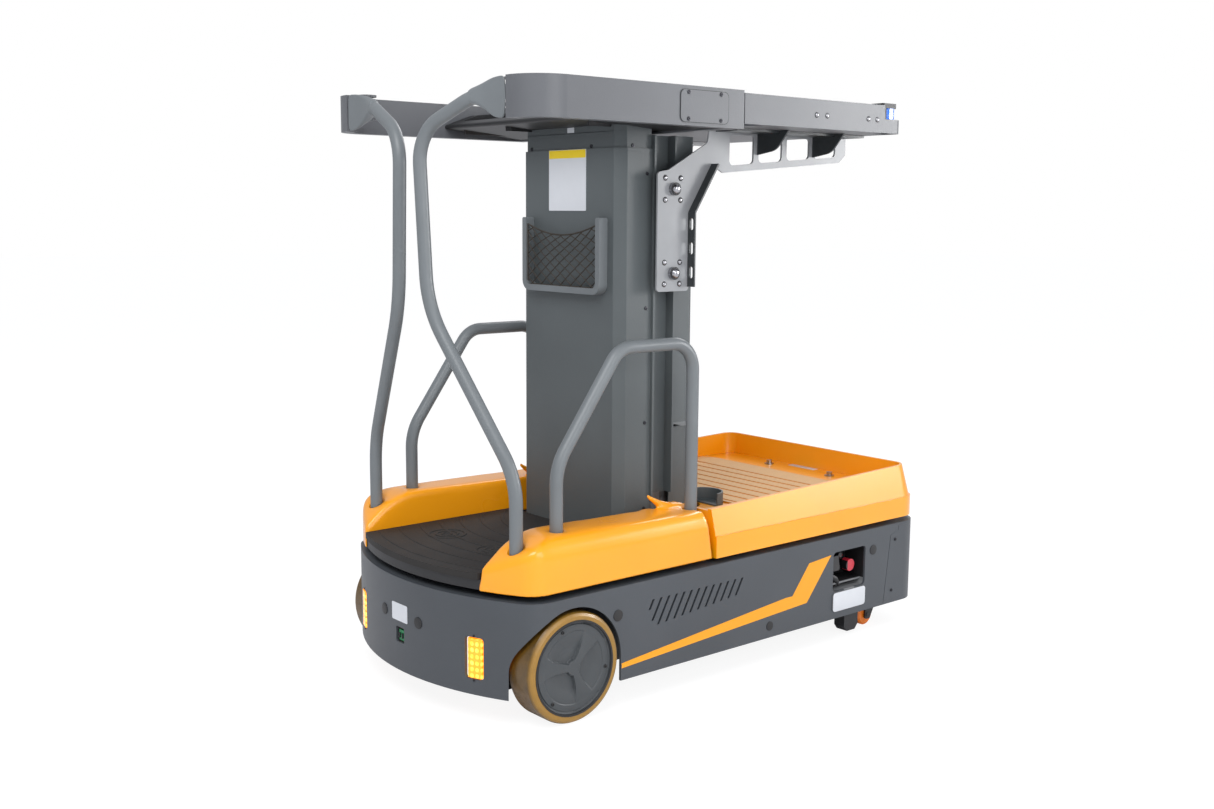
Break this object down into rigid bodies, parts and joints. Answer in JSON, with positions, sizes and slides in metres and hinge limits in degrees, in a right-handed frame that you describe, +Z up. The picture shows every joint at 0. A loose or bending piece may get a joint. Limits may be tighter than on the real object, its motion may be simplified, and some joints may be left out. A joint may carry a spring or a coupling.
{
  "type": "order picker truck",
  "caption": "Compact order picker truck with a rising operator platform behind a telescopic mast, swing gates, a front goods shelf and a load deck.",
  "frame": {"origin": "on the ground under the middle of the chassis", "axes": "+X forward to the load deck, +Y left, +Z up"},
  "size_m": [1.437, 0.833, 1.402],
  "materials": {
    "chassis_paint": "satin",
    "frame_black": "satin",
    "battery_case": "matte",
    "wheel_polyurethane": "satin",
    "hub_grey": "satin",
    "caster_polyurethane": "satin",
    "black_plastic": "matte",
    "control_red": "gloss",
    "lamp_amber": "gloss",
    "cover_yellow": "gloss",
    "deck_tan": "matte",
    "bolt_steel": "brushed",
    "column_grey": "satin",
    "mast_steel": "satin",
    "rod_chrome": "polished",
    "mat_rubber": "matte",
    "tube_grey": "satin",
    "console_grey": "satin",
    "net_cord": "matte",
    "bracket_light": "satin",
    "lens_blue": "gloss"
  },
  "bodies": {
    "chassis": {"chassis_shell": "chassis_paint", "front_cover": "chassis_paint", "inner_frame": "frame_black", "battery": "battery_case", "drive_unit_left": "frame_black", "drive_unit_right": "frame_black", "control_bay": "black_plastic", "bay_controls": "control_red", "skid_blocks": "frame_black", "rear_lamps": "lamp_amber", "load_deck": "cover_yellow", "deck_panel": "deck_tan", "deck_bolts": "bolt_steel", "deck_collar": "column_grey", "mast_foot_cover": "column_grey", "mast_outer": "mast_steel", "lift_barrel": "frame_black"},
    "drive_wheel_left": {"drive_tyre_left": "wheel_polyurethane", "drive_hub_left": "hub_grey"},
    "caster_left": {"caster_fork_left": "frame_black"},
    "caster_roller_left": {"caster_wheel_left": "caster_polyurethane"},
    "gate_left": {"gate_left": "tube_grey"},
    "drive_wheel_right": {"drive_tyre_right": "wheel_polyurethane", "drive_hub_right": "hub_grey"},
    "caster_right": {"caster_fork_right": "frame_black"},
    "caster_roller_right": {"caster_wheel_right": "caster_polyurethane"},
    "gate_right": {"gate_right": "tube_grey"},
    "platform": {"carriage": "column_grey", "platform_floor": "frame_black", "floor_mat": "mat_rubber", "side_cover_left": "cover_yellow", "side_cover_right": "cover_yellow", "grab_rail_left": "tube_grey", "grab_rail_right": "tube_grey", "column_cover": "column_grey", "mast_front_cover": "column_grey", "console_frame": "console_grey", "dash": "black_plastic", "dash_controls": "control_red", "net_frame": "tube_grey", "net": "net_cord"},
    "mast_middle": {"mast_middle": "mast_steel", "lift_rod": "rod_chrome"},
    "mast_inner": {"mast_inner": "mast_steel"},
    "shelf": {"shelf_tray": "console_grey", "shelf_brackets": "bracket_light", "shelf_rollers": "bolt_steel", "beacon_housing": "black_plastic", "beacon_lens": "lens_blue"}
  },
  "joints": [
    {"name": "platform_lift", "type": "slide", "parent": "chassis", "child": "platform", "axis": [0, 0, 1], "range_m": [0, 2.7]},
    {"name": "mast_inner_lift", "type": "slide", "parent": "chassis", "child": "mast_inner", "axis": [0, 0, 1], "range_m": [0, 1.8005]},
    {"name": "mast_middle_lift", "type": "slide", "parent": "chassis", "child": "mast_middle", "axis": [0, 0, 1], "range_m": [0, 0.9005]},
    {"name": "shelf_height", "type": "slide", "parent": "platform", "child": "shelf", "axis": [0, 0, -1], "range_m": [0, 0.4]},
    {"name": "drive_wheel_left_spin", "type": "hinge", "parent": "chassis", "child": "drive_wheel_left", "pos_m": [-0.504, 0.333, 0.125], "axis": [0, 1, 0], "continuous": true},
    {"name": "caster_left_swivel", "type": "hinge", "parent": "chassis", "child": "caster_left", "pos_m": [0.5805, 0.308, 0.1], "axis": [0, 0, 1], "continuous": true},
    {"name": "caster_left_roll", "type": "hinge", "parent": "caster_left", "child": "caster_roller_left", "pos_m": [0.5525, 0.308, 0.03], "axis": [0, 1, 0], "continuous": true},
    {"name": "gate_left_hinge", "type": "hinge", "parent": "platform", "child": "gate_left", "pos_m": [-0.6035, 0.293, 1], "axis": [0, 0, 1], "range_deg": [0, 90], "stiffness_Nm_per_rad": 2, "springref_deg": -45.84},
    {"name": "drive_wheel_right_spin", "type": "hinge", "parent": "chassis", "child": "drive_wheel_right", "pos_m": [-0.504, -0.333, 0.125], "axis": [0, 1, 0], "continuous": true},
    {"name": "caster_right_swivel", "type": "hinge", "parent": "chassis", "child": "caster_right", "pos_m": [0.5805, -0.308, 0.1], "axis": [0, 0, 1], "continuous": true},
    {"name": "caster_right_roll", "type": "hinge", "parent": "caster_right", "child": "caster_roller_right", "pos_m": [0.5525, -0.308, 0.03], "axis": [0, 1, 0], "continuous": true},
    {"name": "gate_right_hinge", "type": "hinge", "parent": "platform", "child": "gate_right", "pos_m": [-0.6035, -0.293, 1], "axis": [0, 0, 1], "range_deg": [-90, 0], "stiffness_Nm_per_rad": 2, "springref_deg": 45.84}
  ],
  "couplings": [
    {"joint": "mast_inner_lift", "follows": "platform_lift", "ratio": 0.66667},
    {"joint": "mast_middle_lift", "follows": "platform_lift", "ratio": 0.33333}
  ]
}
